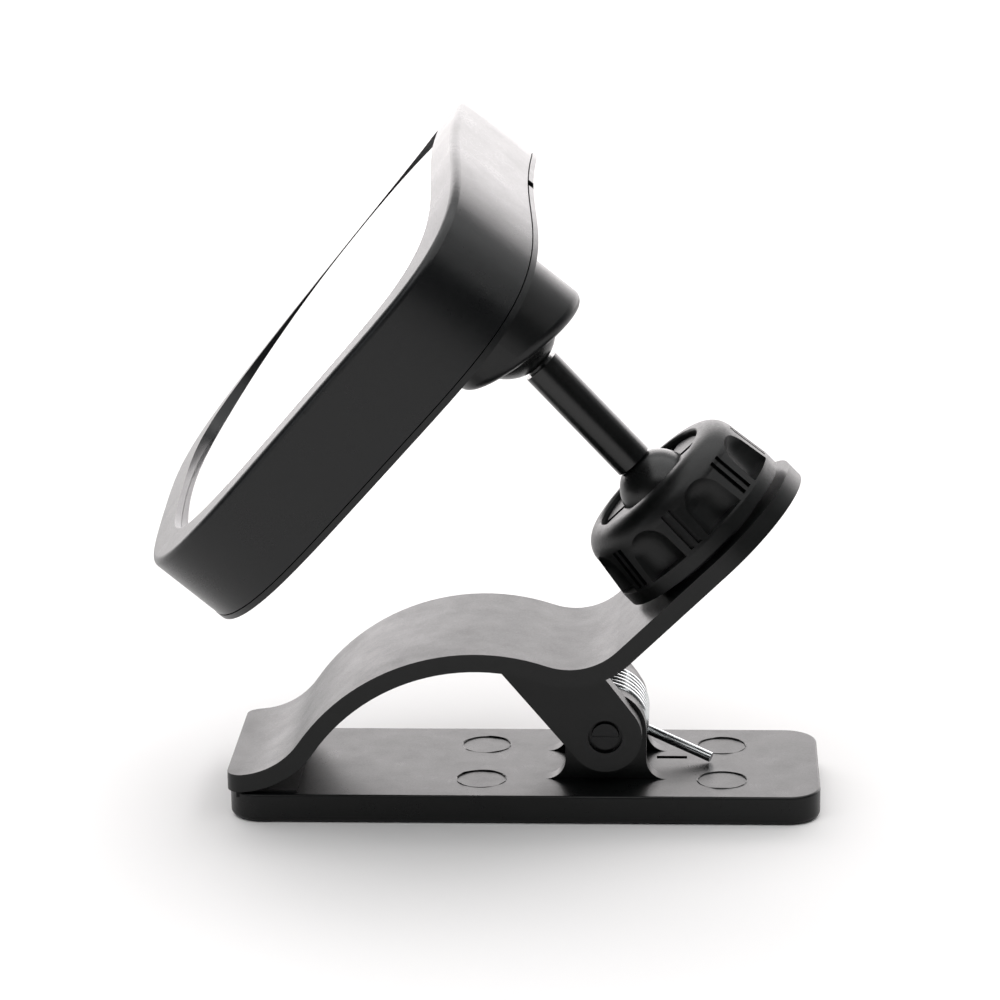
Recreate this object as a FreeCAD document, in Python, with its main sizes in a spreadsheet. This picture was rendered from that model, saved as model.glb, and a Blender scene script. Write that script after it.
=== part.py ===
import FreeCAD, Part

# Clip-on adjustable convex mirror: a spring clip, a ball arm with a lock knob and a framed convex mirror.
# Millimetres, +Z up, +X towards the knob, +Y across the clip. The origin is the centre of the base's underside.

import math
import os
import Sketcher
from FreeCAD import Placement, Rotation, Vector

SIZES = [
    # base plate
    ("base_length", 75.0), ("base_width", 25.8), ("base_thick", 3.8), ("base_corner", 4.2),
    ("base_bottom_edge", 0.8), ("base_top_edge", 0.3),
    ("mark_dia", 6.4), ("mark_depth", 0.12), ("mark_rows", 13.0), ("mark_columns", 30.7), ("mark_middle_x", 9.75),
    ("slot_length", 3.9), ("slot_width", 1.0), ("slot_depth", 1.0), ("slot_start", 6.4), ("slot_side", 1.9),
    # grip pad let into the base
    ("pad_length", 7.8), ("pad_thick", 1.0), ("pad_proud", 0.28), ("pad_inset", 1.0), ("pad_gap", 0.05),
    # hinge
    ("hinge_x", 10.3), ("hinge_rise", 6.6), ("cheek_width", 10.3), ("cheek_thick", 2.2), ("cheek_gap", 8.4),
    ("cheek_foot", 2.6), ("pin_dia", 3.4), ("pin_recess", 0.2), ("turn_gap", 0.05), ("side_gap", 0.1),
    # torsion spring
    ("wire_dia", 1.3), ("coil_dia", 9.6), ("coil_turns", 5.0), ("coil_pitch", 1.32),
    ("leg_angle", 34.6), ("leg_reach", 13.4), ("leg_gap", 0.05), ("upper_leg_x", 0.3),
    # clip lever
    ("lever_thick", 2.3), ("lever_width", 25.8), ("lever_corner", 2.0), ("rest_gap", 0.02),
    ("arch_x", -5.8), ("arch_rise", 18.75), ("arch_radius", 27.3), ("foot_radius", 9.9), ("trough_radius", 8.6),
    ("arm_angle", 43.8), ("tip_overhang", 0.1), ("tab_offset", 0.9),
    ("ear_thick", 2.6), ("ear_radius", 4.65), ("ear_left_x", -4.9), ("ear_right_x", 9.0),
    ("leadin_dia", 4.4), ("leadin_depth", 0.9),
    # split socket on the arm, its seat and the lock knob
    ("knob_x", 23.4), ("knob_rise", 30.2), ("socket_dia", 18.6), ("socket_height", 10.4), ("socket_step", 5.8),
    ("socket_top_dia", 15.8), ("socket_slots", 6.0), ("socket_slot_width", 1.2), ("socket_slot_floor", 3.0),
    ("seat_dia", 9.2), ("seat_floor", 0.6), ("seat_rim", 6.0), ("ball_gap", 0.05),
    ("knob_dia", 25.4), ("knob_top_dia", 23.8), ("knob_height", 11.2), ("knob_lift", 1.0), ("knob_shoulder", 3.2),
    ("knob_mouth", 16.7), ("knob_lip", 0.3), ("knob_skirt", 1.6), ("knob_bore_gap", 0.08), ("knob_bore_top", 6.6),
    ("cone_top", 9.6), ("grips", 8.0), ("scallop_radius", 3.6), ("scallop_depth", 1.3), ("scallop_low", 2.9),
    ("scallop_high", 9.8), ("scallop_phase", 26.0), ("groove_width", 0.6), ("groove_rib", 0.6),
    ("groove_depth", 0.6), ("groove_low", 3.1), ("groove_high", 8.6),
    # stem and balls
    ("ball_rise", 9.15), ("ball_dia", 10.0), ("top_ball_dia", 12.4), ("ball_spacing", 28.0), ("stem_angle", 47.0),
    ("stem_dia", 5.0), ("neck_dia", 3.6), ("neck_low", 4.75), ("neck_high", 6.3), ("spigot_depth", 3.6),
    # mirror head
    ("head_width", 71.8), ("head_height", 62.6), ("head_taper", 0.12), ("head_square", 4.44),
    ("head_depth", 12.36), ("head_flare", 0.32), ("head_bow", 2.84), ("foot_bow", 0.5), ("head_angle", 39.5),
    ("head_yaw", 3.7), ("head_roll", 1.8), ("ball_depth", 18.4), ("ball_offset", 15.2),
    ("frame_wall", 1.8), ("side_lip", 3.3), ("end_lip", 4.8), ("frame_edge", 0.9), ("cover_edge", 0.75),
    ("cover_thick", 1.8), ("cover_gap", 0.12), ("mirror_radius", 260.0), ("mirror_sink", 0.6), ("mirror_shift", 8.0),
    ("mirror_thick", 2.0),
    ("mirror_gap", 0.1), ("foam_thick", 3.0), ("foam_inset", 6.0), ("rib_spacing", 44.0), ("rib_thick", 1.5),
    ("rib_length", 40.0),
    # boss and what holds the upper ball
    ("boss_dia", 18.4), ("mouth_angle", 14.2), ("mouth_depth", 3.0), ("boss_edge", 1.3), ("boss_bore_gap", 0.1),
    ("ring_dia", 12.5), ("ring_hole", 6.0), ("ring_low", 2.9), ("ring_high", 5.2), ("ring_gap", 0.06),
    ("retainer_dia", 21.0), ("retainer_thick", 1.6), ("screw_dia", 2.0), ("screw_circle", 15.7),
    ("screw_length", 6.0), ("screw_head_dia", 3.6), ("screw_head", 1.0), ("screws", 3.0),
    ("notch_width", 3.0), ("notch_depth", 0.8),
]
OUTLINE_POINTS = 72
OVER = 1.0            # how far a cutter runs past the face that it cuts
BIG = 200.0           # larger than the whole object

doc = FreeCAD.newDocument("clip_mirror")
sheet = doc.addObject("Spreadsheet::Sheet", "sizes")
for row, (alias, value) in enumerate(SIZES, start=1):
    sheet.set("A%d" % row, alias)
    sheet.set("B%d" % row, str(value))
    sheet.setAlias("B%d" % row, alias)
doc.recompute()


def size(alias):
    return float(getattr(sheet, alias))


# ---------- helpers ----------

def bind(feature, prop, formula):
    feature.setExpression(prop, formula)


def body(label, placement=None):
    made = doc.addObject("PartDesign::Body", label)
    made.Label = label
    if placement is not None:
        made.Placement = placement
    return made


def sketch_on(owner, plane, offset=None):
    found = [item for item in owner.Origin.OriginFeatures if item.Role == plane]
    made = owner.newObject("Sketcher::SketchObject", owner.Name + "_sketch")
    made.AttachmentSupport = (found[0], [""])
    made.MapMode = "FlatFace"
    if offset is not None:
        made.AttachmentOffset = offset
    return made


def line(start, end):
    return Part.LineSegment(Vector(start[0], start[1], 0), Vector(end[0], end[1], 0))


def arc(centre, radius, start_deg, end_deg):
    circle = Part.Circle(Vector(centre[0], centre[1], 0), Vector(0, 0, 1), radius)
    return Part.ArcOfCircle(circle, math.radians(start_deg), math.radians(end_deg))


def polar(centre, radius, angle_deg):
    angle = math.radians(angle_deg)
    return (centre[0] + radius * math.cos(angle), centre[1] + radius * math.sin(angle))


def draw(sketch, pieces):
    for piece in pieces:
        sketch.addGeometry(piece, False)


def draw_loop(sketch, points):
    for first, second in zip(points, points[1:] + points[:1]):
        sketch.addGeometry(line(first, second), False)


def draw_circle(sketch, x, y, diameter, formula=None):
    index = sketch.addGeometry(Part.Circle(Vector(x, y, 0), Vector(0, 0, 1), diameter / 2), False)
    if formula:
        constraint = sketch.addConstraint(Sketcher.Constraint("Diameter", index, diameter))
        sketch.renameConstraint(constraint, "dia%d" % index)
        bind(sketch, "Constraints.dia%d" % index, formula)
    return index


def pad(owner, sketch, formula, symmetric=False, flipped=False):
    made = owner.newObject("PartDesign::Pad", owner.Name + "_pad")
    made.Profile = sketch
    made.SideType = "Symmetric" if symmetric else "One side"
    made.Reversed = flipped
    bind(made, "Length", formula)
    return made


def pocket(owner, sketch, formula, symmetric=False, flipped=False):
    doc.recompute()
    before = owner.Shape.Volume
    made = owner.newObject("PartDesign::Pocket", owner.Name + "_pocket")
    made.Profile = sketch
    made.SideType = "Symmetric" if symmetric else "One side"
    made.Reversed = flipped
    bind(made, "Length", formula)
    doc.recompute()
    if owner.Shape.Volume > before - 1e-3:
        raise ValueError("a pocket in %s cuts nothing" % owner.Label)
    return made


def turned(owner, kind, sketch, axis=None):
    made = owner.newObject("PartDesign::" + kind, owner.Name + "_" + kind.lower())
    made.Profile = sketch
    made.ReferenceAxis = axis or (sketch, ["V_Axis"])
    made.Angle = 360.0
    return made


def edges_where(shape, test):
    return ["Edge%d" % number for number, edge in enumerate(shape.Edges, start=1) if test(edge)]


def dress(owner, kind, prop, formula, test):
    doc.recompute()
    base = owner.Tip
    names = edges_where(base.Shape, test)
    if not names:
        raise ValueError("no edges to dress on %s" % owner.Label)
    made = owner.newObject("PartDesign::" + kind, owner.Name + "_" + kind.lower())
    made.Base = (base, names)
    bind(made, prop, formula)
    doc.recompute()
    return made


def polar_copies(owner, features, count_formula):
    made = owner.newObject("PartDesign::PolarPattern", owner.Name + "_pattern")
    made.Originals = features
    made.Axis = ([item for item in owner.Origin.OriginFeatures if item.Role == "Z_Axis"][0], [""])
    made.Angle = 360.0
    bind(made, "Occurrences", count_formula)
    owner.Tip = made
    doc.recompute()
    return made


def feature(label, shape, placement=None):
    made = doc.addObject("Part::Feature", label)
    made.Label = label
    made.Shape = shape
    if placement is not None:
        made.Placement = placement
    return made


def is_upright(edge, length):
    first, last = edge.Vertexes[0].Point, edge.Vertexes[-1].Point
    upright = abs(first.x - last.x) < 1e-4 and abs(first.y - last.y) < 1e-4
    return upright and abs(abs(first.z - last.z) - length) < 1e-3


# ---------- places worked out from the sizes ----------

base_top = size("base_thick")
hinge_z = base_top + size("hinge_rise")
cheek_outer = size("cheek_gap") / 2 + size("cheek_thick")
ear_inner = cheek_outer + size("side_gap")
ear_outer = ear_inner + size("ear_thick")
slope = size("arm_angle")
knob_foot = Vector(size("knob_x"), 0, base_top + size("knob_rise"))
along_arm = Vector(math.cos(math.radians(slope)), 0, math.sin(math.radians(slope)))
off_arm = Vector(-along_arm.z, 0, along_arm.x)
knob_place = Placement(knob_foot, Rotation(Vector(0, 1, 0), -slope))
low_ball = knob_foot + off_arm * size("ball_rise")
stem_lean = math.radians(size("stem_angle"))
stem_line = Vector(-math.cos(stem_lean), 0, math.sin(stem_lean))
stem_place = Placement(low_ball, Rotation(Vector(0, 1, 0), size("stem_angle") - 90.0))
top_ball = low_ball + stem_line * size("ball_spacing")
top_ball_place = Placement(top_ball, stem_place.Rotation)

head_lean = math.radians(size("head_angle"))
head_turn = Rotation(Vector(0, -1, 0), Vector(math.sin(head_lean), 0, math.cos(head_lean)),
                     Vector(-math.cos(head_lean), 0, math.sin(head_lean)), "ZXY")
head_turn = Rotation(Vector(0, 0, 1), size("head_yaw")).multiply(head_turn)
head_turn = head_turn.multiply(Rotation(Vector(0, 0, 1), -size("head_roll")))
ball_in_head = Vector(0, size("ball_offset"), -size("ball_depth"))
head_place = Placement(top_ball - head_turn.multVec(ball_in_head), head_turn)


# ---------- base plate ----------

def rounded_rectangle(sketch, low_x, high_x, half_y, radius):
    corners = [((high_x - radius, half_y - radius), 0), ((low_x + radius, half_y - radius), 90),
               ((low_x + radius, -half_y + radius), 180), ((high_x - radius, -half_y + radius), 270)]
    arcs = [arc(centre, radius, start, start + 90) for centre, start in corners]
    for index, piece in enumerate(arcs):
        following = arcs[(index + 1) % 4]
        sketch.addGeometry(piece, False)
        sketch.addGeometry(Part.LineSegment(piece.EndPoint, following.StartPoint), False)


def pad_span():
    low = -size("base_length") / 2 + size("pad_inset")
    return low, low + size("pad_length")


def make_base_plate():
    plate = body("base_plate")
    outline = sketch_on(plate, "XY_Plane")
    half = size("base_length") / 2
    rounded_rectangle(outline, -half, half, size("base_width") / 2, size("base_corner"))
    pad(plate, outline, "sizes.base_thick")
    dress(plate, "Fillet", "Radius", "sizes.base_bottom_edge", lambda edge: edge.BoundBox.ZMax < 1e-4)
    dress(plate, "Fillet", "Radius", "sizes.base_top_edge", lambda edge: edge.BoundBox.ZMin > base_top - 1e-4)

    # two cheeks: one outline with concave feet and a round top about the pin, with the gap for the coil cut out
    pivot = (size("hinge_x"), hinge_z)
    reach = size("cheek_width") / 2
    foot = size("cheek_foot")
    left_foot = (pivot[0] - reach - foot, base_top + foot)
    right_foot = (pivot[0] + reach + foot, base_top + foot)
    sunk = base_top - OVER
    for side in (-1, 1):
        near = ear_inner - size("side_gap")
        lift = near - size("cheek_thick") if side < 0 else -near
        cheek = sketch_on(plate, "XZ_Plane", Placement(Vector(0, 0, lift), Rotation()))
        draw(cheek, [arc(left_foot, foot, 270, 360),
                     line((pivot[0] - reach, left_foot[1]), (pivot[0] - reach, pivot[1])),
                     arc(pivot, reach, 0, 180),
                     line((pivot[0] + reach, pivot[1]), (pivot[0] + reach, right_foot[1])),
                     arc(right_foot, foot, 180, 270),
                     line((right_foot[0], base_top), (right_foot[0], sunk)),
                     line((right_foot[0], sunk), (left_foot[0], sunk)),
                     line((left_foot[0], sunk), (left_foot[0], base_top))])
        pad(plate, cheek, "sizes.cheek_thick")
    bore = sketch_on(plate, "XZ_Plane")
    draw_circle(bore, pivot[0], pivot[1], size("pin_dia"), "sizes.pin_dia")
    pocket(plate, bore, "2 * sizes.cheek_thick + sizes.cheek_gap + 2", symmetric=True)

    top_face = Placement(Vector(0, 0, base_top), Rotation())
    recess = sketch_on(plate, "XY_Plane", top_face)
    low, high = pad_span()
    side = size("base_width") / 2 - size("pad_inset")
    draw_loop(recess, [(low, -side), (high, -side), (high, side), (low, side)])
    pocket(plate, recess, "sizes.pad_thick - sizes.pad_proud")
    marks = sketch_on(plate, "XY_Plane", top_face)
    for column in (-1, 1):
        for line_side in (-1, 1):
            draw_circle(marks, size("mark_middle_x") + column * size("mark_columns") / 2,
                        line_side * size("mark_rows") / 2, size("mark_dia"))
    pocket(plate, marks, "sizes.mark_depth")
    slot = sketch_on(plate, "XY_Plane", top_face)
    start = pivot[0] + size("slot_start")
    low_y = size("slot_side") - size("slot_width") / 2
    high_y = low_y + size("slot_width")
    end = start + size("slot_length")
    draw_loop(slot, [(start, low_y), (end, low_y), (end, high_y), (start, high_y)])
    pocket(plate, slot, "sizes.slot_depth")


def make_grip_pad():
    low, high = pad_span()
    gap = size("pad_gap")
    floor = base_top - size("pad_thick") + size("pad_proud")
    grip = body("jaw_grip_pad", Placement(Vector(0, 0, floor), Rotation()))
    outline = sketch_on(grip, "XY_Plane")
    side = size("base_width") / 2 - size("pad_inset") - gap
    draw_loop(outline, [(low + gap, -side), (high - gap, -side), (high - gap, side), (low + gap, side)])
    pad(grip, outline, "sizes.pad_thick")


def make_hinge_pin():
    pin = body("hinge_pin", Placement(Vector(size("hinge_x"), 0, hinge_z), Rotation()))
    section = sketch_on(pin, "XZ_Plane")
    draw_circle(section, 0, 0, size("pin_dia"), "sizes.pin_dia")
    pad(pin, section, "2 * (sizes.cheek_gap / 2 + sizes.cheek_thick + sizes.side_gap + sizes.ear_thick"
                      " - sizes.pin_recess)", symmetric=True)


# ---------- torsion spring ----------

def wire_rod(start, end):
    rod = Part.makeCylinder(size("wire_dia") / 2, (end - start).Length, start, end - start)
    return rod


def make_torsion_spring():
    radius = size("coil_dia") / 2
    wire = size("wire_dia") / 2
    pivot = Vector(size("hinge_x"), 0, hinge_z)
    # the upper leg lies under the arch of the lever and leaves the coil in line with its last turn
    arch_z = base_top + size("arch_rise") - size("arch_radius")
    under = size("arch_radius") - size("lever_thick") - wire - size("leg_gap")
    across = size("upper_leg_x") - size("arch_x")
    upper_tip = Vector(size("upper_leg_x"), 0, arch_z + math.sqrt(under ** 2 - across ** 2))
    to_pivot = pivot - upper_tip
    fall = math.atan2(to_pivot.z, to_pivot.x) + math.asin(radius / to_pivot.Length)
    upper_angle = 90.0 + math.degrees(fall)
    turns = size("coil_turns") + (upper_angle + size("leg_angle")) / 360.0
    width = size("coil_pitch") * turns
    coil_path = Part.Wire(Part.makeHelix(size("coil_pitch"), width, radius))
    section = Part.Wire(Part.makeCircle(wire, Vector(radius, 0, 0), Vector(0, 1, 0)))
    coil = coil_path.makePipeShell([section], True, True)
    # the helix is turned to run along +Y, its near end where the upper leg leaves
    turn = Placement(Vector(), Rotation(Vector(0, 1, 0), -upper_angle), pivot)
    coil.Placement = turn.multiply(Placement(pivot - Vector(0, width / 2, 0), Rotation(Vector(1, 0, 0), -90)))
    high = math.radians(upper_angle)
    low = math.radians(-size("leg_angle"))
    upper_start = pivot + Vector(radius * math.cos(high), -width / 2, radius * math.sin(high))
    lower_start = pivot + Vector(radius * math.cos(low), width / 2, radius * math.sin(low))
    upper_tip.y = upper_start.y
    lower_tip = Vector(size("hinge_x") + size("leg_reach"), 0, base_top + wire + size("leg_gap"))
    shape = coil
    for first, last in ((lower_start, lower_tip), (upper_start, upper_tip)):
        shape = shape.fuse([wire_rod(first, last), Part.makeSphere(wire, first)])
    feature("torsion_spring", shape)


# ---------- clip lever ----------

def lever_curves():
    """Centres and angles of the four stretches of the S: foot, arch, trough and arm."""
    thick = size("lever_thick")
    arch = (size("arch_x"), base_top + size("arch_rise") - size("arch_radius"))
    tip_top = base_top + size("pad_proud") + size("rest_gap") + thick
    foot_z = tip_top + size("foot_radius")
    spread = size("arch_radius") + size("foot_radius")
    foot = (arch[0] - math.sqrt(spread ** 2 - (foot_z - arch[1]) ** 2), foot_z)
    # the trough touches the arch and the arm's upper face
    lift = off_arm.dot(knob_foot) + size("trough_radius")
    base_point = off_arm * lift
    from_arch = base_point - Vector(arch[0], 0, arch[1])
    span = size("arch_radius") + size("trough_radius")
    half = from_arch.dot(along_arm)
    slide = -half + math.sqrt(half ** 2 - from_arch.dot(from_arch) + span ** 2)
    centre = base_point + along_arm * slide
    trough = (centre.x, centre.z)
    foot_angle = math.degrees(math.atan2(arch[1] - foot[1], arch[0] - foot[0]))
    trough_angle = math.degrees(math.atan2(arch[1] - trough[1], arch[0] - trough[0]))
    return arch, foot, trough, foot_angle, trough_angle, slide


def lever_outline():
    arch, foot, trough, foot_angle, trough_angle, slide = lever_curves()
    thick = size("lever_thick")
    tip_x = -size("base_length") / 2 - size("tip_overhang")
    end = along_arm.dot(knob_foot) + size("tab_offset") + size("lever_width") / 2 + OVER
    upper = off_arm * off_arm.dot(knob_foot) + along_arm * end
    lower = upper - off_arm * thick
    pieces = []
    for shift in (0.0, thick):
        foot_r = size("foot_radius") + shift
        arch_r = size("arch_radius") - shift
        trough_r = size("trough_radius") + shift
        edge = upper if shift == 0.0 else lower
        pieces += [line((tip_x, foot[1] - foot_r), polar(foot, foot_r, 270)),
                   arc(foot, foot_r, 270, 360 + foot_angle),
                   arc(arch, arch_r, trough_angle + 180, 180 + foot_angle),
                   arc(trough, trough_r, 360 + trough_angle if trough_angle < 0 else trough_angle, 270 + slope),
                   line(polar(trough, trough_r, 270 + slope), (edge.x, edge.z))]
    foot_low = foot[1] - size("foot_radius")
    pieces += [line((tip_x, foot_low - thick), (tip_x, foot_low)), line((lower.x, lower.z), (upper.x, upper.z))]
    return pieces


def tangent_point(point, centre, radius, side):
    """Where the line from a point touches a circle, on the left (+1) or right (-1) of the way to its centre."""
    dx, dz = centre[0] - point[0], centre[1] - point[1]
    distance = math.hypot(dx, dz)
    lean = math.atan2(dz, dx) + side * math.asin(radius / distance)
    run = math.sqrt(distance ** 2 - radius ** 2)
    return (point[0] + run * math.cos(lean), point[1] + run * math.sin(lean))


def make_clip_lever():
    lever = body("clip_lever")
    profile = sketch_on(lever, "XZ_Plane")
    draw(profile, lever_outline())
    pad(lever, profile, "sizes.lever_width", symmetric=True)
    tip_x = -size("base_length") / 2 - size("tip_overhang")
    dress(lever, "Fillet", "Radius", "sizes.lever_corner",
          lambda edge: edge.BoundBox.XMax < tip_x + 1e-3 and is_upright(edge, size("lever_thick")))

    # the arm ends in a half circle about the tab's centre
    half = size("lever_width") / 2
    centre = size("tab_offset")
    past = centre + half + 2 * OVER
    tab = sketch_on(lever, "XY_Plane", knob_place)
    draw(tab, [line((centre, half), (centre, half + OVER)), line((centre, half + OVER), (past, half + OVER)),
               line((past, half + OVER), (past, -half - OVER)), line((past, -half - OVER), (centre, -half - OVER)),
               line((centre, -half - OVER), (centre, -half)), arc((centre, 0), half, -90, 90)])
    pocket(lever, tab, "4 * sizes.lever_thick", symmetric=True)

    # ears: from the middle of the plate's thickness down to a round end about the pin
    arch, foot, trough, foot_angle, trough_angle, slide = lever_curves()
    pivot = (size("hinge_x"), hinge_z)
    mid = size("lever_thick") / 2
    left_r = size("arch_radius") - mid
    right_r = size("trough_radius") + mid
    left = (size("ear_left_x"), arch[1] + math.sqrt(left_r ** 2 - (size("ear_left_x") - arch[0]) ** 2))
    right = (size("ear_right_x"), trough[1] - math.sqrt(right_r ** 2 - (size("ear_right_x") - trough[0]) ** 2))
    left_touch = tangent_point(left, pivot, size("ear_radius"), -1)
    right_touch = tangent_point(right, pivot, size("ear_radius"), 1)
    start = math.degrees(math.atan2(left_touch[1] - pivot[1], left_touch[0] - pivot[0])) % 360
    end = math.degrees(math.atan2(right_touch[1] - pivot[1], right_touch[0] - pivot[0])) % 360
    for lift in (ear_inner, -ear_outer):
        ear = sketch_on(lever, "XZ_Plane", Placement(Vector(0, 0, lift), Rotation()))
        draw(ear, [line(left, left_touch), arc(pivot, size("ear_radius"), start, end + 360),
                   line(right_touch, right), line(right, left)])
        pad(lever, ear, "sizes.ear_thick")
    bore = sketch_on(lever, "XZ_Plane")
    draw_circle(bore, pivot[0], pivot[1], size("pin_dia") + 2 * size("turn_gap"),
                "sizes.pin_dia + 2 * sizes.turn_gap")
    pocket(lever, bore, "2 * (sizes.cheek_gap / 2 + sizes.cheek_thick + sizes.side_gap + sizes.ear_thick) + 2",
           symmetric=True)
    for lift, flipped in ((ear_outer, False), (-ear_outer, True)):
        lead_in = sketch_on(lever, "XZ_Plane", Placement(Vector(0, 0, lift), Rotation()))
        draw_circle(lead_in, pivot[0], pivot[1], size("leadin_dia"), "sizes.leadin_dia")
        pocket(lever, lead_in, "sizes.leadin_depth", flipped=flipped)
    add_split_socket(lever)


def ball_height_at(radius):
    return math.sqrt((size("ball_dia") / 2 + size("ball_gap")) ** 2 - radius ** 2)


def add_split_socket(lever):
    """A threaded collar on the arm, hollow for the seat and ball, split into fingers that the knob squeezes."""
    outer = size("socket_dia") / 2
    crown = size("socket_top_dia") / 2
    bore = size("seat_dia") / 2 + size("turn_gap")
    high = size("socket_height")
    ball = size("ball_dia") / 2 + size("ball_gap")
    level = size("ball_rise")
    lip = math.sqrt(ball ** 2 - (high - level) ** 2)
    meet = level - ball_height_at(bore)
    sunk = -size("lever_thick") / 2
    floor = size("seat_floor")
    along = Placement(Vector(knob_foot.x, knob_foot.z, 0), Rotation(Vector(0, 0, 1), slope))
    top = sketch_on(lever, "XZ_Plane", along)
    start = math.degrees(math.atan2(meet - level, bore)) + 360
    end = math.degrees(math.atan2(high - level, lip)) + 360
    draw(top, [line((0, sunk), (outer, sunk)), line((outer, sunk), (outer, size("socket_step"))),
               line((outer, size("socket_step")), (crown, high)), line((crown, high), (lip, high)),
               arc((0, level), ball, start, end), line((bore, meet), (bore, floor)),
               line((bore, floor), (0, floor)), line((0, floor), (0, sunk))])
    turned(lever, "Revolution", top)
    doc.recompute()
    fingers = sketch_on(lever, "XY_Plane", knob_place.multiply(
        Placement(Vector(0, 0, high + OVER), Rotation())))
    count = int(size("socket_slots"))
    half = size("socket_slot_width") / 2
    inner = bore - OVER
    for index in range(count):
        turn = math.radians(index * 360.0 / count)
        across = Vector(-math.sin(turn), math.cos(turn), 0)
        out = Vector(math.cos(turn), math.sin(turn), 0)
        corners = [out * inner - across * half, out * (outer + OVER) - across * half,
                   out * (outer + OVER) + across * half, out * inner + across * half]
        draw_loop(fingers, [(corner.x, corner.y) for corner in corners])
    pocket(lever, fingers, "sizes.socket_height + 1 - sizes.socket_slot_floor")


# ---------- seat, knob, stem and balls ----------

def make_ball_seat():
    seat = body("ball_seat", knob_place)
    radius = size("seat_dia") / 2
    ball = size("ball_dia") / 2 + size("ball_gap")
    level = size("ball_rise")
    rim = size("seat_rim")
    inner = math.sqrt(ball ** 2 - (level - rim) ** 2)
    floor = size("seat_floor") + size("turn_gap")
    end = 360 + math.degrees(math.atan2(rim - level, inner))
    profile = sketch_on(seat, "XZ_Plane")
    draw(profile, [line((0, floor), (radius, floor)), line((radius, floor), (radius, rim)),
                   line((radius, rim), (inner, rim)), arc((0, level), ball, 270, end),
                   line((0, level - ball), (0, floor))])
    turned(seat, "Revolution", profile)


def knob_radius(height):
    """The knob's outside: straight at the skirt, then tapering up to the shoulder."""
    low = size("knob_lift") + size("knob_skirt")
    high = size("knob_height") - size("knob_shoulder")
    share = min(max((height - low) / (high - low), 0), 1)
    return (size("knob_dia") + (size("knob_top_dia") - size("knob_dia")) * share) / 2


def make_lock_knob():
    knob = body("lock_knob", knob_place)
    bore = size("socket_dia") / 2 + size("knob_bore_gap")
    mouth = size("knob_mouth") / 2
    low, high = size("knob_lift"), size("knob_height")
    skirt = low + size("knob_skirt")
    wide, narrow = size("knob_dia") / 2, size("knob_top_dia") / 2
    curve, lip = size("knob_shoulder"), size("knob_lip")
    profile = sketch_on(knob, "XZ_Plane")
    draw(profile, [line((bore, low), (wide, low)), line((wide, low), (wide, skirt)),
                   line((wide, skirt), (narrow, high - curve)),
                   arc((narrow - curve, high - curve), curve, 0, 90),
                   line((narrow - curve, high), (mouth + lip, high)),
                   arc((mouth + lip, high - lip), lip, 90, 180),
                   line((mouth, high - lip), (mouth, size("cone_top"))),
                   line((mouth, size("cone_top")), (bore, size("knob_bore_top"))),
                   line((bore, size("knob_bore_top")), (bore, low))])
    turned(knob, "Revolution", profile)
    doc.recompute()

    # wide scallops: a round-ended bar turned about a line outside the knob
    bar = size("scallop_radius")
    centre = narrow + bar - size("scallop_depth")
    low_z, high_z = size("scallop_low"), size("scallop_high")
    round_z = high_z - bar
    scallop = sketch_on(knob, "XZ_Plane", Placement(Vector(), Rotation(Vector(0, 1, 0), size("scallop_phase"))))
    scallop.addGeometry(line((centre, low_z), (centre, high_z)), True)
    draw(scallop, [line((centre, low_z), (centre - bar, low_z)),
                   line((centre - bar, low_z), (centre - bar, round_z)),
                   arc((centre, round_z), bar, 90, 180), line((centre, high_z), (centre, low_z))])
    before = knob.Shape.Volume
    cut = turned(knob, "Groove", scallop, (scallop, ["Axis0"]))
    doc.recompute()
    if knob.Shape.Volume > before - 1e-3:
        raise ValueError("the scallop cuts nothing")
    polar_copies(knob, [cut], "sizes.grips")

    # between the scallops, two narrow grooves leave a thin rib
    turn = Rotation(Vector(0, 1, 0), size("scallop_phase") - 180.0 / size("grips"))
    low_z, high_z = size("groove_low"), size("groove_high")
    depth = size("groove_depth")
    grooves = []
    for side in (-1, 1):
        shift = turn.multVec(Vector(0, 0, side * (size("groove_rib") + size("groove_width")) / 2))
        groove = sketch_on(knob, "XZ_Plane", Placement(shift, turn))
        draw_loop(groove, [(knob_radius(low_z) - depth, low_z), (wide + OVER, low_z),
                           (wide + OVER, high_z), (knob_radius(high_z) - depth, high_z)])
        grooves.append(pocket(knob, groove, "sizes.groove_width", symmetric=True))
    polar_copies(knob, grooves, "sizes.grips")


def make_stem():
    rod = body("stem_rod", stem_place)
    radius = size("stem_dia") / 2
    neck = size("neck_dia") / 2
    first = size("neck_low")
    last = size("ball_spacing") - size("neck_high")
    low_end = size("ball_dia") / 2 - size("spigot_depth")
    high_end = size("ball_spacing") - size("top_ball_dia") / 2 + size("spigot_depth")
    profile = sketch_on(rod, "XZ_Plane")
    draw_loop(profile, [(0, low_end), (neck, low_end), (neck, first), (radius, first), (radius, last),
                        (neck, last), (neck, high_end), (0, high_end)])
    turned(rod, "Revolution", profile)


def make_ball(label, diameter_alias, place, sign):
    """A ball with a blind hole for the rod's spigot; sign gives the side of the hole along the stem."""
    ball = doc.addObject("Part::Sphere", label + "_round")
    bind(ball, "Radius", "sizes.%s / 2" % diameter_alias)
    hole = doc.addObject("Part::Cylinder", label + "_hole")
    bind(hole, "Radius", "sizes.neck_dia / 2")
    bind(hole, "Height", "sizes.spigot_depth + 1")
    depth = size(diameter_alias) / 2 - size("spigot_depth")
    turn = Rotation() if sign > 0 else Rotation(Vector(1, 0, 0), 180)
    hole.Placement = Placement(turn.multVec(Vector(0, 0, depth)), turn)
    cut = doc.addObject("Part::Cut", label)
    cut.Label = label
    cut.Base = ball
    cut.Tool = hole
    cut.Placement = place


# ---------- mirror head: local X across, local Y up the mirror, local Z out of its front ----------

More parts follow.
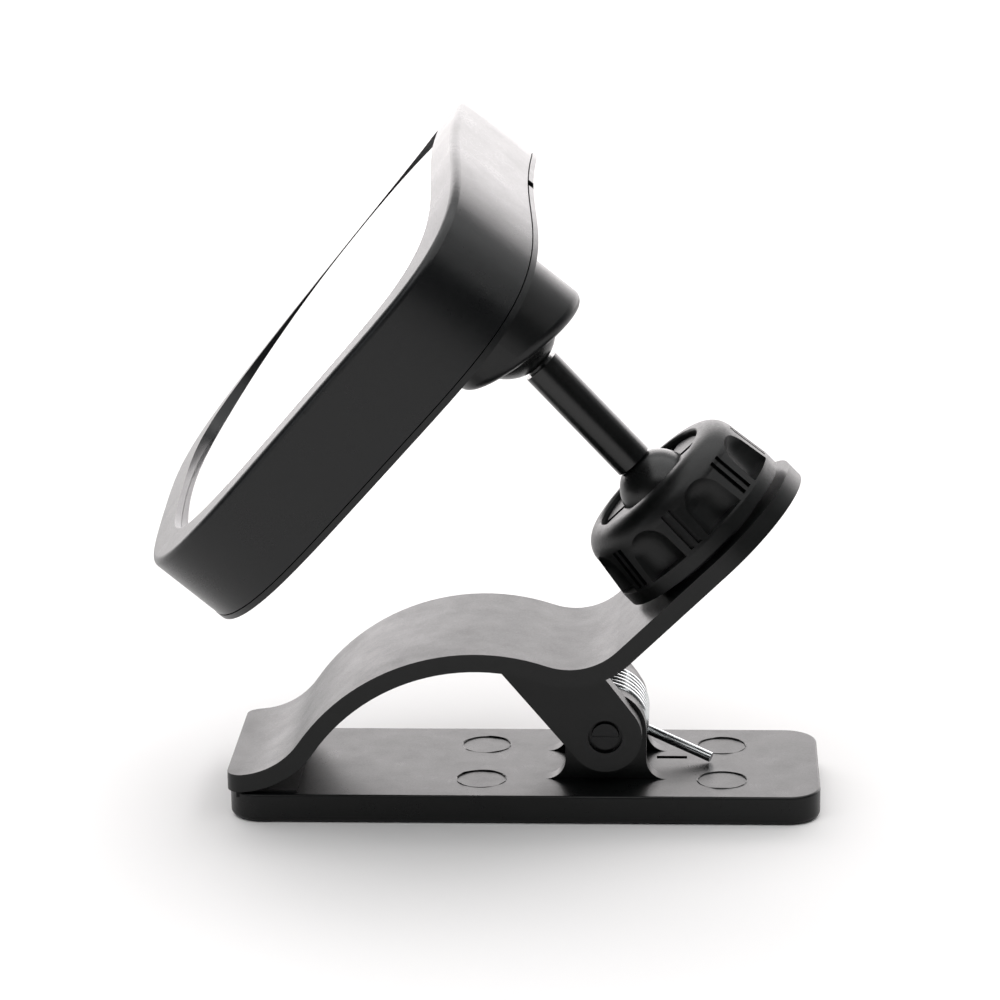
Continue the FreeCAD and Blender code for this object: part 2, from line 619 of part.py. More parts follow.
def outline_wire(side_inset, end_inset, level):
    """A four-sided round shape, a little wider at the top: a super-ellipse with a taper."""
    half_w = size("head_width") / 2 - side_inset
    half_h = size("head_height") / 2 - end_inset
    power = size("head_square")
    points = []
    for index in range(OUTLINE_POINTS):
        angle = 2 * math.pi * index / OUTLINE_POINTS
        c, s = math.cos(angle), math.sin(angle)
        reach = (abs(c / half_w) ** power + abs(s / half_h) ** power) ** (-1 / power)
        y = reach * s
        points.append(Vector(reach * c * (1 + size("head_taper") * y / half_h), y, level))
    curve = Part.BSplineCurve()
    curve.interpolate(Points=points, PeriodicFlag=True)
    return Part.Wire(curve.toShape())


def block(inset, low, high):
    return Part.Face(outline_wire(inset, inset, low)).extrude(Vector(0, 0, high - low))


def bow_radius(rise):
    reach = size("head_width") / 2
    return (reach ** 2 + rise ** 2) / (2 * rise)


def behind(step):
    """The space behind the head's bowed back, moved forwards by a step; the bow runs across the head."""
    radius = bow_radius(size("head_bow"))
    middle = Vector(0, 0, size("head_bow") - size("head_depth") - radius)
    drum = Part.makeCylinder(radius + step, BIG, middle - Vector(0, BIG / 2, 0), Vector(0, 1, 0))
    drum.rotate(middle, Vector(0, 1, 0), 180)
    return drum


def under_front():
    """The space behind the frame's front: full bow along the top edge, nearly flat along the bottom edge."""
    reach = size("head_width")
    end = size("head_height") / 2 + OVER
    sections = []
    for y, rise in ((-end, size("foot_bow")), (end, size("head_bow"))):
        radius = bow_radius(rise)
        edge_z = rise - radius + math.sqrt(radius ** 2 - reach ** 2)
        left, right = Vector(-reach, y, edge_z), Vector(reach, y, edge_z)
        low_left, low_right = Vector(-reach, y, -BIG), Vector(reach, y, -BIG)
        bow = Part.Arc(left, Vector(0, y, rise), right).toShape()
        sections.append(Part.Wire([bow, Part.makeLine(right, low_right), Part.makeLine(low_right, low_left),
                                   Part.makeLine(low_left, left)]))
    return Part.makeLoft(sections, True, True)


def mirror_ball(step):
    """Everything inside the mirror's front, moved back by a step."""
    radius = size("mirror_radius")
    crown = size("head_bow") - size("mirror_sink")
    return Part.makeSphere(radius - step, Vector(0, size("mirror_shift"), crown - radius))


def make_mirror_frame():
    back = -size("head_depth") - OVER
    front = size("head_bow") + OVER
    flare = -size("head_flare")
    outer = Part.makeLoft([outline_wire(0, 0, front), outline_wire(flare, flare, back)], True, True)
    outer = outer.common(under_front())
    reach = size("head_width")
    front_edges = [edge for edge in outer.Edges if edge.Length > reach and edge.BoundBox.ZMin > -OVER]
    outer = outer.makeFillet(size("frame_edge"), front_edges)
    cavity = block(size("frame_wall"), back - OVER, front).common(mirror_ball(0.0))
    opening = Part.Face(outline_wire(size("side_lip"), size("end_lip"), -size("head_depth") / 2))
    opening = opening.extrude(Vector(0, 0, size("head_depth")))
    shape = outer.cut([cavity, opening, behind(size("cover_edge") + size("cover_gap"))])
    feature("mirror_frame", shape, head_place)


def make_convex_mirror():
    blank = block(size("frame_wall") + size("mirror_gap"), -size("head_depth"), size("head_bow"))
    shape = blank.common(mirror_ball(size("mirror_gap") / 5)).cut(mirror_ball(size("mirror_thick")))
    feature("convex_mirror", shape, head_place)


def make_foam_pad():
    blank = block(size("foam_inset"), -size("head_depth"), OVER)
    front = size("mirror_thick") + size("mirror_gap") / 5
    shape = blank.common(mirror_ball(front)).cut(mirror_ball(front + size("foam_thick")))
    feature("mirror_foam", shape, head_place)


def mouth_block():
    """A block behind the boss's slanted mouth."""
    lean = Rotation(Vector(1, 0, 0), -size("mouth_angle"))
    start = ball_in_head + lean.multVec(Vector(0, 0, -size("mouth_depth")))
    cutter = Part.makeBox(BIG, BIG, BIG, Vector(-BIG / 2, -BIG / 2, -BIG))
    cutter.Placement = Placement(start, lean)
    return cutter


def boss_cylinder(radius, low, high):
    return Part.makeCylinder(radius, high - low, Vector(ball_in_head.x, ball_in_head.y, low))


def cover_front():
    return size("head_bow") - size("head_depth") + size("cover_thick")


def screw_spots():
    count = int(size("screws"))
    radius = size("screw_circle") / 2
    for index in range(count):
        angle = math.radians(90 + index * 360.0 / count)
        yield Vector(ball_in_head.x + radius * math.cos(angle), ball_in_head.y + radius * math.sin(angle), 0)


def make_back_cover():
    back = -size("head_depth") - OVER
    flange = block(-size("head_flare"), back, 0).common(behind(size("cover_edge")))
    inner = block(size("frame_wall") + size("cover_gap"), back, 0).common(behind(size("cover_thick")))
    shape = flange.fuse(inner)
    foam_back = size("mirror_thick") + size("mirror_gap") / 5 + size("foam_thick") + size("mirror_gap")
    for side in (-1, 1):
        middle = side * size("rib_spacing") / 2
        rib = Part.makeBox(size("rib_thick"), size("rib_length"), -back,
                           Vector(middle - size("rib_thick") / 2, -size("rib_length") / 2, back))
        shape = shape.fuse(rib.common(mirror_ball(foam_back)))
    shape = shape.cut(behind(0.0))
    rear = -size("ball_depth") - size("boss_dia")
    boss = boss_cylinder(size("boss_dia") / 2, rear, cover_front()).cut(mouth_block())
    rim = [edge for edge in boss.Edges if edge.BoundBox.ZMax < -size("ball_depth") and len(edge.Vertexes) == 1]
    boss = boss.makeFillet(size("boss_edge"), rim)
    shape = shape.fuse(boss)
    ball = size("top_ball_dia") / 2 + size("ball_gap")
    bore = boss_cylinder(ball + size("boss_bore_gap"), -size("ball_depth"), OVER)
    shape = shape.cut([bore, Part.makeSphere(ball, ball_in_head)])
    pilots = [Part.makeCylinder(size("screw_dia") / 2, size("screw_length") + size("retainer_thick"),
                                spot + Vector(0, 0, cover_front() - size("screw_length")))
              for spot in screw_spots()]
    shape = shape.cut(pilots)
    top = size("head_height") / 2 + size("head_flare")
    notch = Part.makeBox(size("notch_width"), 2 * size("notch_depth"), size("cover_edge"),
                         Vector(-size("notch_width") / 2, top - size("notch_depth"),
                                size("head_bow") - size("head_depth")))
    feature("back_cover", shape.cut(notch), head_place)


def make_ball_holders():
    ball = Part.makeSphere(size("top_ball_dia") / 2 + size("ball_gap"), ball_in_head)
    low = -size("ball_depth") + size("ring_low")
    high = -size("ball_depth") + size("ring_high")
    ring = boss_cylinder(size("ring_dia") / 2, low, high).cut(boss_cylinder(size("ring_hole") / 2, low, high))
    feature("friction_ring", ring.cut(ball), head_place)

    front = cover_front()
    plug = boss_cylinder(size("ring_dia") / 2, high + size("ring_gap"), front + size("retainer_thick"))
    flange = boss_cylinder(size("retainer_dia") / 2, front, front + size("retainer_thick"))
    holes = [Part.makeCylinder(size("screw_dia") / 2, 2 * size("retainer_thick"),
                               spot + Vector(0, 0, front - OVER / 2)) for spot in screw_spots()]
    core = boss_cylinder(size("ring_hole") / 2, high, front + size("retainer_thick"))
    feature("ball_retainer", plug.fuse(flange).cut(holes + [core, ball]), head_place)

    screws = []
    head_low = front + size("retainer_thick")
    for spot in screw_spots():
        shank = Part.makeCylinder(size("screw_dia") / 2, head_low - front + size("screw_length"),
                                  spot + Vector(0, 0, front - size("screw_length")))
        head = Part.makeCylinder(size("screw_head_dia") / 2, size("screw_head"), spot + Vector(0, 0, head_low))
        screws.append(shank.fuse(head))
    feature("retainer_screws", Part.makeCompound(screws), head_place)


# ---------- build, check and write ----------

NODES = ["base_plate", "jaw_grip_pad", "hinge_pin", "torsion_spring", "clip_lever", "ball_seat", "lock_knob",
         "stem_rod", "lower_ball", "upper_ball", "friction_ring", "ball_retainer", "retainer_screws", "back_cover",
         "mirror_frame", "convex_mirror", "mirror_foam"]


def check_and_write():
    for item in doc.Objects:
        if "Invalid" in item.State or "Error" in item.State:
            raise ValueError("%s failed: %s" % (item.Label, item.State))
    os.makedirs("parts", exist_ok=True)
    for name in NODES:
        shape = doc.getObjectsByLabel(name)[0].Shape
        if shape.isNull() or not shape.isValid():
            raise ValueError("%s has no valid shape" % name)
        shape.exportStep("parts/%s.step" % name)
        print("%-16s %d solid(s) %9.1f mm3" % (name, len(shape.Solids), shape.Volume))


make_base_plate()
make_grip_pad()
make_hinge_pin()
make_torsion_spring()
make_clip_lever()
make_ball_seat()
make_lock_knob()
make_stem()
make_ball("lower_ball", "ball_dia", stem_place, 1)
make_ball("upper_ball", "top_ball_dia", top_ball_place, -1)
make_mirror_frame()
make_convex_mirror()
make_foam_pad()
make_back_cover()
make_ball_holders()
doc.recompute()
check_and_write()
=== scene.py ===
# %% [markdown]
# # A clip-on convex mirror
# The object is a small spring clip that carries a convex mirror on a ball arm. Its shape is already settled:
# the frame holds every moulded piece, in metres, with +X towards the knob, +Y away and +Z up. This lesson
# gives the pieces their finishes, adds the small details that a mould leaves behind, and lights the set.

# %% Load the frame
import math
import bmesh
import bpy
from mathutils import Matrix, Vector, noise


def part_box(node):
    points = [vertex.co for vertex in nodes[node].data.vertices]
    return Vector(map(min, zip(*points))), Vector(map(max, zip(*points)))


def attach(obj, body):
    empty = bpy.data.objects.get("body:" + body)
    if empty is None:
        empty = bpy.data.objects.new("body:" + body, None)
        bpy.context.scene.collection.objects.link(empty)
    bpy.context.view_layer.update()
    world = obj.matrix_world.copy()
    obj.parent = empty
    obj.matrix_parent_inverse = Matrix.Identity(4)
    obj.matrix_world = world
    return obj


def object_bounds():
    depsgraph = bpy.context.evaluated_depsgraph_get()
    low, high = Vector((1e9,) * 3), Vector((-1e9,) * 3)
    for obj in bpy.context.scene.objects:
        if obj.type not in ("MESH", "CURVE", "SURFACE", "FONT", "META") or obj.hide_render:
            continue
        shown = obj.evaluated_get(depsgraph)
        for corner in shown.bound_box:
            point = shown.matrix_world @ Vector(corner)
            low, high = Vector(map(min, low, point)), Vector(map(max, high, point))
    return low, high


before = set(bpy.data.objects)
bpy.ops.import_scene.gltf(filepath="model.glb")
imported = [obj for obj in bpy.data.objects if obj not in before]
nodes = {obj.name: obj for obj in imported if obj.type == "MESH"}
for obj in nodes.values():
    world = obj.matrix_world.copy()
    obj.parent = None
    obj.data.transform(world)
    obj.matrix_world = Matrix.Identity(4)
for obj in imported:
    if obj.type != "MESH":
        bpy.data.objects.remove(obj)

MM = 0.001
cad_box = [list(corner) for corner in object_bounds()]
print("size in mm:", [round((high - low) / MM, 1) for low, high in zip(*cad_box)])

# %% [markdown]
# ## Colour and nodes
# Blender's shaders work in linear light, while a colour picked by eye is an sRGB hex value. One function
# turns one into the other. A second function adds a shader node, sets it and wires it, so that each material
# below reads as a short list of what it is made of.

# %% Helpers for colour and nodes
def linear(hex_value):
    """An sRGB hex colour as linear red, green, blue and alpha."""
    parts = [int(hex_value[i:i + 2], 16) / 255 for i in (1, 3, 5)]
    return [p / 12.92 if p <= 0.04045 else ((p + 0.055) / 1.055) ** 2.4 for p in parts] + [1.0]


def add(tree, kind, inputs=None, **settings):
    """A new node: settings are its own options, and inputs are values or sockets to wire in."""
    made = tree.nodes.new(kind)
    for name, value in settings.items():
        setattr(made, name, value)
    for name, value in (inputs or {}).items():
        if isinstance(value, bpy.types.NodeSocket):
            tree.links.new(value, made.inputs[name])
        else:
            made.inputs[name].default_value = value
    return made


print("mid grey #808080 is", round(linear("#808080")[0], 3), "in linear light")

# %% [markdown]
# ## Moulded plastic
# Nearly every piece is black ABS, nylon or acetal from a steel mould. Real black plastic is never one flat
# colour: the pigment drifts slightly, and the mould's spark-eroded skin prints a fine grain that scatters
# light. The grain could be modelled, but at a few tenths of a millimetre across and a few microns deep it
# belongs in the shader as a bump. Its scale comes from a size in millimetres, because the texture space of
# every piece is the frame itself, in metres.

# %% A function for moulded plastic
def start_material(name):
    """A new material with an empty node tree, and the tree."""
    material = bpy.data.materials.new(name)
    material.use_nodes = True
    tree = material.node_tree
    tree.nodes.clear()
    return material, tree


def finish_material(tree, shader):
    """Wires the shader to the material's output."""
    add(tree, "ShaderNodeOutputMaterial", {"Surface": shader.outputs[0]})


def moulded_plastic(name, dark, light, shine, grain_mm, grain_depth_mm, level, mottle_mm=4.0, scuffs=0.0):
    """Black moulded plastic. shine is the lowest and highest roughness, level how strongly it reflects."""
    material, tree = start_material(name)
    place = add(tree, "ShaderNodeTexCoord").outputs["Object"]
    drift = add(tree, "ShaderNodeTexNoise", {
        "Vector": place, "Scale": 1 / (mottle_mm * MM), "Detail": 5.0, "Roughness": 0.65})
    grain = add(tree, "ShaderNodeTexNoise", {
        "Vector": place, "Scale": 1 / (grain_mm * MM), "Detail": 3.0, "Roughness": 0.6})
    colour = add(tree, "ShaderNodeMix", {
        "Factor": drift.outputs["Fac"], "A": linear(dark), "B": linear(light)}, data_type="RGBA")
    # pigment and grain both roughen the skin; their sum lies mostly between 0.7 and 1.3
    both = add(tree, "ShaderNodeMath", {0: drift.outputs["Fac"], 1: grain.outputs["Fac"]}, operation="ADD")
    rough = add(tree, "ShaderNodeMapRange", {
        "Value": both.outputs[0], "From Min": 0.7, "From Max": 1.3, "To Min": shine[0], "To Max": shine[1]})
    height = grain.outputs["Fac"]
    if scuffs:
        height = add_scuffs(tree, place, grain, scuffs)
    bump = add(tree, "ShaderNodeBump", {"Height": height, "Distance": grain_depth_mm * MM, "Strength": 1.0})
    shader = add(tree, "ShaderNodeBsdfPrincipled", {
        "Base Color": colour.outputs["Result"], "Roughness": rough.outputs["Result"], "IOR": 1.5,
        "Specular IOR Level": level, "Normal": bump.outputs["Normal"]})
    finish_material(tree, shader)
    return material


def add_scuffs(tree, place, grain, amount):
    """Hairline rub marks: noise stretched along two crossing directions, cut down to thin lines."""
    length_mm = 9.0
    thinness = 0.012      # how near the noise has to be to its middle value to count as a line
    total = grain.outputs["Fac"]
    for turn, stretch in ((0.5, 26.0), (-0.9, 34.0)):
        laid = add(tree, "ShaderNodeMapping", {
            "Vector": place, "Rotation": (turn, turn / 2, 0.3), "Scale": (1.0, stretch, stretch)})
        lines = add(tree, "ShaderNodeTexNoise", {
            "Vector": laid.outputs[0], "Scale": 1 / (length_mm * MM), "Detail": 2.0})
        off = add(tree, "ShaderNodeMath", {0: lines.outputs["Fac"], 1: 0.5}, operation="SUBTRACT")
        size = add(tree, "ShaderNodeMath", {0: off.outputs[0]}, operation="ABSOLUTE")
        line = add(tree, "ShaderNodeMapRange", {
            "Value": size.outputs[0], "From Min": 0.0, "From Max": thinness,
            "To Min": -amount, "To Max": 0.0})
        total = add(tree, "ShaderNodeMath", {0: total, 1: line.outputs["Result"]}, operation="ADD").outputs[0]
    return total


# %% The moulded finishes
finishes = {
    # an even, dry grain that goes pale where light glances off it
    "base": moulded_plastic("base spark-eroded ABS", "#090a0a", "#101111", (0.26, 0.38), 0.22, 0.004, 0.24),
    # the same grain cut deeper: slightly greyer and softer
    "lever": moulded_plastic("lever spark-eroded ABS", "#0a0b0b", "#121313", (0.30, 0.42), 0.20, 0.006, 0.30),
    # the coarsest skin, for grip: the deepest black, with broken highlights
    "knob": moulded_plastic("knob coarse-grain nylon", "#040505", "#080909", (0.30, 0.46), 0.30, 0.014, 0.30),
    # a smooth, dull disc at each side of the hinge
    "pin": moulded_plastic("pin nylon", "#060708", "#0c0d0e", (0.30, 0.44), 0.25, 0.003, 0.30),
    # nearly no grain, so the light draws one long streak down it
    "stem": moulded_plastic("stem polished acetal", "#080909", "#0f1010", (0.20, 0.28), 0.30, 0.0006, 0.45),
    # polished, then dulled a little by rubbing in its seat
    "ball": moulded_plastic("ball polished acetal", "#090a0a", "#111212", (0.24, 0.36), 0.25, 0.001, 0.40),
    # satin, with broad soft gradients and fine rub marks from handling
    "housing": moulded_plastic("housing satin ABS", "#090a0b", "#111213", (0.26, 0.34), 0.30, 0.003, 0.32,
                               mottle_mm=7.0, scuffs=0.30),
    # satin like the housing and a shade drier, so the two read as separate mouldings
    "cover": moulded_plastic("cover satin ABS", "#080909", "#101112", (0.28, 0.38), 0.28, 0.004, 0.34),
    # unpolished and matte, for pieces that stay inside
    "inner": moulded_plastic("inner nylon", "#090909", "#101010", (0.45, 0.60), 0.30, 0.006, 0.30),
}
print(len(finishes), "moulded finishes")

# %% [markdown]
# ## Wire, glass, rubber and foam
# The spring is steel wire with zinc plating: bright, slightly grey, with cloudy patches where the plating has
# dulled and a fine spangle from its crystals. The mirror is silvered glass. What shows is the silver, so a
# metal shader with almost no roughness is closer than a sheet of clear glass, and a faint haze keeps it from
# looking computed. The grip pad is soft rubber and the foam is open-celled, both matte.

# %% Zinc-plated wire
def plated_wire(name, colour, shine, depth_mm):
    """Zinc plating: colour and shine each run from its darker, smoother patches to the pale, cloudy ones."""
    patch_mm, crystal_mm = 1.6, 0.18
    material, tree = start_material(name)
    place = add(tree, "ShaderNodeTexCoord").outputs["Object"]
    bloom = add(tree, "ShaderNodeTexNoise", {"Vector": place, "Scale": 1 / (patch_mm * MM), "Detail": 4.0})
    spangle = add(tree, "ShaderNodeTexNoise", {
        "Vector": place, "Scale": 1 / (crystal_mm * MM), "Detail": 2.0})
    tint = add(tree, "ShaderNodeMix", {
        "Factor": bloom.outputs["Fac"], "A": linear(colour[0]), "B": linear(colour[1])}, data_type="RGBA")
    rough = add(tree, "ShaderNodeMapRange", {
        "Value": bloom.outputs["Fac"], "From Min": 0.35, "From Max": 0.65, "To Min": shine[0],
        "To Max": shine[1]})
    bump = add(tree, "ShaderNodeBump", {
        "Height": spangle.outputs["Fac"], "Distance": depth_mm * MM, "Strength": 1.0})
    shader = add(tree, "ShaderNodeBsdfPrincipled", {
        "Base Color": tint.outputs["Result"], "Metallic": 1.0, "Roughness": rough.outputs["Result"],
        "Normal": bump.outputs["Normal"]})
    finish_material(tree, shader)
    return material


# the brightest thing on the clip: crisp white glints along each turn
finishes["wire"] = plated_wire("zinc-plated spring wire", ("#b9bdbf", "#d4d6d6"), (0.16, 0.30), 0.004)
# the same plating, duller and greyer
finishes["screw"] = plated_wire("zinc-plated screw steel", ("#a9adb0", "#c6c8c9"), (0.25, 0.40), 0.004)
print("2 plated finishes")


# %% Silvered glass, rubber and foam
def silvered_glass(name):
    """A mirror's silver, almost perfectly smooth, with patches of faint haze."""
    haze_mm = 5.0
    material, tree = start_material(name)
    place = add(tree, "ShaderNodeTexCoord").outputs["Object"]
    haze = add(tree, "ShaderNodeTexNoise", {
        "Vector": place, "Scale": 1 / (haze_mm * MM), "Detail": 6.0, "Roughness": 0.7})
    tint = add(tree, "ShaderNodeMix", {
        "Factor": haze.outputs["Fac"], "A": linear("#f3f3f4"), "B": linear("#fbfafb")}, data_type="RGBA")
    rough = add(tree, "ShaderNodeMapRange", {
        "Value": haze.outputs["Fac"], "From Min": 0.4, "From Max": 0.7, "To Min": 0.02, "To Max": 0.07})
    shader = add(tree, "ShaderNodeBsdfPrincipled", {
        "Base Color": tint.outputs["Result"], "Metallic": 1.0, "Roughness": rough.outputs["Result"]})
    finish_material(tree, shader)
    return material


def soft_material(name, dark, light, cell_mm, depth_mm, rough):
    """Rubber or foam: small round cells, darker and lower at their middles."""
    material, tree = start_material(name)
    place = add(tree, "ShaderNodeTexCoord").outputs["Object"]
    cells = add(tree, "ShaderNodeTexVoronoi", {"Vector": place, "Scale": 1 / (cell_mm * MM)})
    tint = add(tree, "ShaderNodeMix", {
        "Factor": cells.outputs["Distance"], "A": linear(dark), "B": linear(light)}, data_type="RGBA")
    bump = add(tree, "ShaderNodeBump", {
        "Height": cells.outputs["Distance"], "Distance": depth_mm * MM, "Strength": 1.0})
    shader = add(tree, "ShaderNodeBsdfPrincipled", {
        "Base Color": tint.outputs["Result"], "Roughness": rough, "IOR": 1.5, "Specular IOR Level": 0.3,
        "Normal": bump.outputs["Normal"]})
    finish_material(tree, shader)
    return material


# shows the set itself, white or dim, with hardly any softening
finishes["mirror"] = silvered_glass("silvered convex glass")
# fully matte, so it reads as a darker band than the plastic round it
finishes["rubber"] = soft_material("grip rubber", "#0d0d0d", "#1b1b1b", 0.35, 0.010, 0.75)
# greyer still, with open cells
finishes["foam"] = soft_material("backing foam", "#161616", "#2c2c2c", 0.9, 0.15, 0.95)
print(len(finishes), "finishes in all")

# %% [markdown]
# ## Dress the frame's pieces
# Each piece of the frame keeps its mesh and gets the finish of what it is made from. The clip is ABS because
# it is stiff and cheap, the balls and stem are acetal because it slides well, and the knob is nylon because
# it doesn't crack when it is turned hard against the base.

# %% Give every piece its finish
DRESS = {
    "base": ["base_plate"], "lever": ["clip_lever"], "knob": ["lock_knob"], "pin": ["hinge_pin"],
    "stem": ["stem_rod"], "ball": ["lower_ball", "upper_ball"], "housing": ["mirror_frame"],
    "cover": ["back_cover"], "inner": ["ball_seat", "ball_retainer"], "wire": ["torsion_spring"],
    "screw": ["retainer_screws"], "mirror": ["convex_mirror"], "rubber": ["jaw_grip_pad", "friction_ring"],
    "foam": ["mirror_foam"],
}
for finish, names in DRESS.items():
    for name in names:
        for slot in nodes[name].material_slots:
            slot.material = finishes[finish]
print(sum(len(names) for names in DRESS.values()), "of", len(nodes), "pieces dressed")

# %% [markdown]
# ## The pin's parting line
# The hinge pin comes from a mould in two halves, so a thin ridge of flash crosses each of its ends. It is
# less than a tenth of a millimetre high, but it catches the light. It could be a bump in the shader, but a
# real ridge also shows from the side: a bar with rounded edges, half sunk into the end.

# %% Flash lines on the pin's ends
def mesh_object(name, mesh, finish, body):
    """A piece made from a mesh: it gets its finish and rides on a body."""
    made = bpy.data.objects.new(name, mesh)
    bpy.context.collection.objects.link(made)
    made.data.materials.append(finishes[finish])
    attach(made, body)


def rounded_bar(size, rounding):
    """A mesh of a bar of that size about the origin, with its edges rounded."""
    bm = bmesh.new()
    bmesh.ops.create_cube(bm, size=1.0)
    bmesh.ops.scale(bm, vec=size, verts=bm.verts)
    bmesh.ops.bevel(bm, geom=bm.edges[:], offset=rounding, segments=3, affect="EDGES", profile=0.5)
    mesh = bpy.data.meshes.new("bar")
    bm.to_mesh(mesh)
    bm.free()
    for face in mesh.polygons:
        face.use_smooth = True
    return mesh


FLASH_REACH = 0.94            # its length as a share of the pin's diameter
FLASH_DEPTH = 0.16 * MM       # along the pin; half of it is sunk
FLASH_WIDTH = 0.14 * MM
FLASH_EDGE = 0.05 * MM

low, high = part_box("hinge_pin")
middle = (Vector(low) + Vector(high)) / 2
across = high[0] - low[0]
for side, y in (("near", low[1]), ("far", high[1])):
    mesh = rounded_bar((across * FLASH_REACH, FLASH_DEPTH, FLASH_WIDTH), FLASH_EDGE)
    mesh.transform(Matrix.Translation((middle.x, y, middle.z)))
    mesh_object("pin_flash_" + side, mesh, "pin", "clip_base")
print("flash line length in mm:", round(across * FLASH_REACH / MM, 2))

# %% [markdown]
# ## Ejector marks
# Four ejector pins push the base out of its mould. Each leaves a round print on the top, and the plastic
# that creeps up round the pin leaves a low rim of flash. The rim is uneven, because it tears as the pin draws
# back. A plain torus would look machined, so a ridge with a three-sided section runs round each print, and
# smooth noise sets its height from point to point.

# %% Uneven rims round the ejector marks
def flash_rim(centre, radius, width, height, seed, steps=120):
    """A ring mesh: its inner and outer feet lie just under the surface and its crest rises unevenly."""
    foot = -0.03 * MM
    bm = bmesh.new()
    rows = []
    for index in range(steps):
        angle = 2 * math.pi * index / steps
        out = Vector((math.cos(angle), math.sin(angle), 0))
        # half the full height on average, and nowhere below 15 % of it
        rise = height * max(0.15, 0.5 + noise.noise(out * 1.6 + Vector((seed, 0, 0))))
        wander = width * 0.3 * noise.noise(out * 5.0 + Vector((0, seed, 0)))
        rows.append([bm.verts.new(centre + out * (radius + wander + side * width / 2) + Vector((0, 0, level)))
                     for side, level in ((-1, foot), (0, rise), (1, foot))])
    for row, following in zip(rows, rows[1:] + rows[:1]):
        for left, right in ((0, 1), (1, 2), (2, 0)):
            bm.faces.new((row[left], row[right], following[right], following[left]))
    bmesh.ops.recalc_face_normals(bm, faces=bm.faces)
    mesh = bpy.data.meshes.new("rim")
    bm.to_mesh(mesh)
    bm.free()
    return mesh


BASE_TOP = 3.8 * MM
MARK_COLUMNS = (-5.6, 25.1)   # mm along the base
MARK_ROWS = (-6.5, 6.5)       # mm across it
MARK_RADIUS = 3.2 * MM
RIM_WIDTH = 0.22 * MM
RIM_HEIGHT = 0.10 * MM
SEED_STEP = 3.7               # keeps the four rims from being alike

spots = [(x, y) for x in MARK_COLUMNS for y in MARK_ROWS]
for count, (x, y) in enumerate(spots, start=1):
    centre = Vector((x * MM, y * MM, BASE_TOP))
    rim = flash_rim(centre, MARK_RADIUS, RIM_WIDTH, RIM_HEIGHT, count * SEED_STEP)
    mesh_object("ejector_rim_%d" % count, rim, "base", "clip_base")
print(len(spots), "ejector rims,", round(2 * MARK_RADIUS / MM, 1), "mm across")

# %% [markdown]
# ## Light
# The set is a white table with a tall lit wall close behind it, one wide softbox overhead and a narrow strip
# at the front left. The wall is what makes the upward faces pale: the view glances off them at about 15
# degrees, where even black plastic mirrors a fifth of what lies behind. The room on the viewer's side is dim,
# so faces turned to the viewer stay nearly black. A panel's power is its radiance times its area times pi, so
# each is set by how bright it should look.

# %% Dim room, lit wall, overhead softbox and window strip
def build_world():
    """A room that is nearly dark on the viewer's side and brighter behind the object."""
    world = bpy.data.worlds.new("dim room")
    bpy.context.scene.world = world
    world.use_nodes = True
    tree = world.node_tree
    tree.nodes.clear()
    way = add(tree, "ShaderNodeTexCoord").outputs["Generated"]
    parts = add(tree, "ShaderNodeSeparateXYZ", {"Vector": way})
    glow = add(tree, "ShaderNodeMapRange", {
        "Value": parts.outputs["Y"], "From Min": -0.2, "From Max": 0.6, "To Min": 0.05, "To Max": 0.8},
        interpolation_type="SMOOTHSTEP")
    shade = add(tree, "ShaderNodeBackground", {
        "Color": linear("#fbfcfd"), "Strength": glow.outputs["Result"]})
    add(tree, "ShaderNodeOutputWorld", {"Surface": shade.outputs[0]})


def soft_panel(name, place, aim, width, height, radiance, colour="#ffffff"):
    """A one-sided area light at place, turned to face aim, in metres. The camera doesn't see it."""
    data = bpy.data.lights.new(name, "AREA")
    data.shape = "RECTANGLE"
    data.size, data.size_y = width, height
    data.energy = radiance * width * height * math.pi
    data.color = linear(colour)[:3]
    panel = bpy.data.objects.new(name, data)
    panel.location = place
    panel.rotation_euler = (Vector(aim) - Vector(place)).to_track_quat("-Z", "Y").to_euler()
    panel.visible_camera = False
    bpy.context.collection.objects.link(panel)


build_world()
soft_panel("lit wall", (0.0, 0.80, 0.34), (0.0, 0.0, 0.34), 2.2, 0.68, 2.6, "#fffafa")
soft_panel("overhead softbox", (-0.05, -0.15, 0.75), (-0.05, -0.10, 0.0), 1.5, 1.2, 2.0)
soft_panel("window strip", (-0.60, -0.45, 0.35), (0.0, 0.0, 0.05), 0.14, 0.70, 2.0, "#f4faff")
bpy.context.scene.view_settings.view_transform = "Standard"
print("3 soft panels, room glow behind the object")

# %% [markdown]
# ## Floor
# The table is a matte white board at the lowest point of the object. It is far larger than the view needs, so
# that its edge stays out of sight from other sides too.

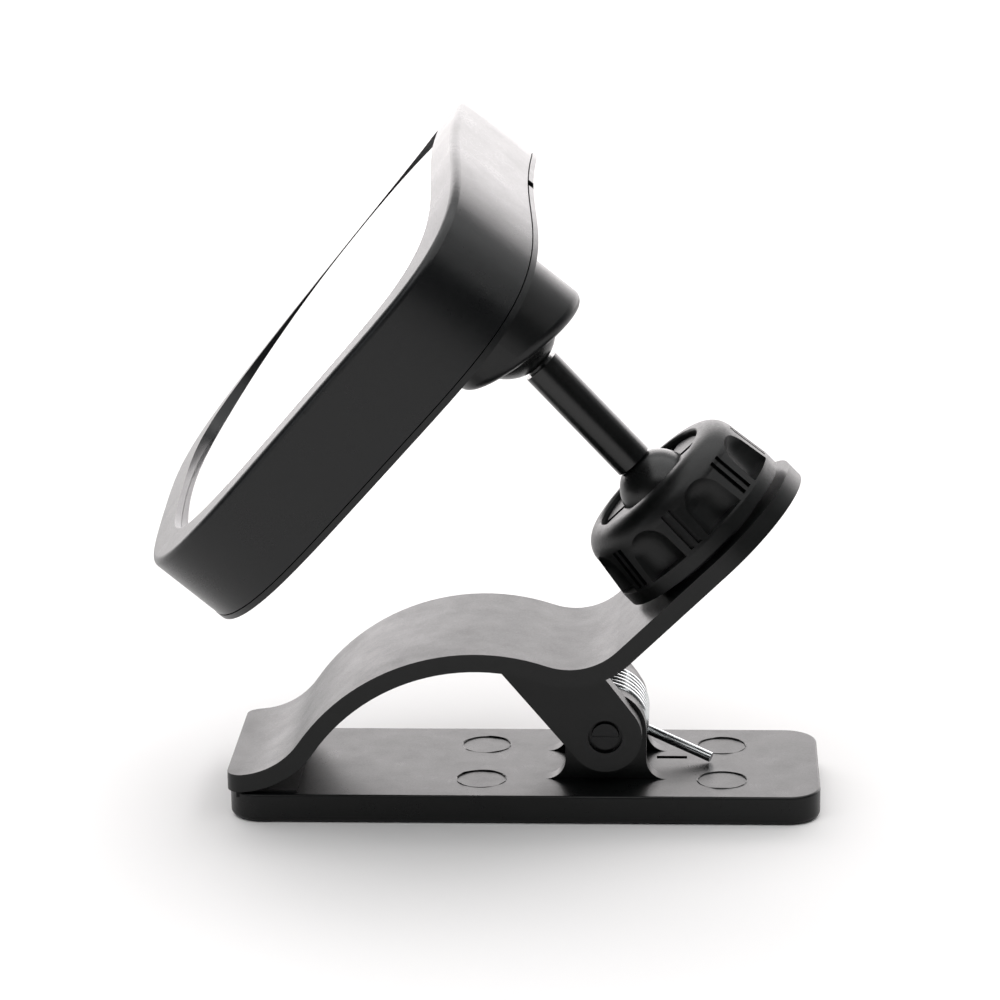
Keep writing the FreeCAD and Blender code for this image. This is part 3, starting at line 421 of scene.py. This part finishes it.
# %% Floor
def build_floor(side):
    """A matte board, side metres square, with a faint drift in its white."""
    material, tree = start_material("white sweep board")
    place = add(tree, "ShaderNodeTexCoord").outputs["Object"]
    # nine patches to the metre
    drift = add(tree, "ShaderNodeTexNoise", {"Vector": place, "Scale": 9.0, "Detail": 3.0})
    tint = add(tree, "ShaderNodeMix", {
        "Factor": drift.outputs["Fac"], "A": linear("#dfdedd"), "B": linear("#e3e2e2")}, data_type="RGBA")
    shader = add(tree, "ShaderNodeBsdfPrincipled", {
        "Base Color": tint.outputs["Result"], "Roughness": 0.85, "IOR": 1.4, "Specular IOR Level": 0.2})
    finish_material(tree, shader)
    bpy.ops.mesh.primitive_plane_add(size=side, location=(0, 0, cad_box[0][2]))
    floor = bpy.context.object
    floor.name = "floor"
    floor.data.materials.append(material)


build_floor(40.0)
print("floor at z =", round(cad_box[0][2] / MM, 2), "mm")

# %% [markdown]
# ## Camera
# The viewer stands low and to the front, about half a metre away, with a long lens that keeps the base's
# edges nearly parallel.

# %% Camera
def build_camera(position, turn, dip, roll, focal):
    """position in metres; turn, dip and roll in degrees; focal as a share of the frame's width."""
    turn, dip, roll = (math.radians(value) for value in (turn, dip, roll))
    ahead = Vector((-math.sin(turn) * math.cos(dip), math.cos(turn) * math.cos(dip), -math.sin(dip)))
    right = ahead.cross(Vector((0, 0, 1))).normalized()
    up = right.cross(ahead)
    right, up = (right * math.cos(roll) + up * math.sin(roll),
                 up * math.cos(roll) - right * math.sin(roll))
    data = bpy.data.cameras.new("camera")
    data.sensor_width = 36.0
    data.lens = focal * data.sensor_width
    data.clip_start = 0.01
    camera = bpy.data.objects.new("camera", data)
    turned = Matrix((right, up, -ahead)).transposed().to_4x4()
    camera.matrix_world = Matrix.Translation(position) @ turned
    bpy.context.collection.objects.link(camera)
    bpy.context.scene.camera = camera


CAMERA_PLACE = Vector((21.84, -454.17, 168.28)) * MM
build_camera(CAMERA_PLACE, turn=3.144, dip=15.872, roll=-0.77, focal=3.7294)
print("camera", round(CAMERA_PLACE.length, 3), "m from the frame's origin")
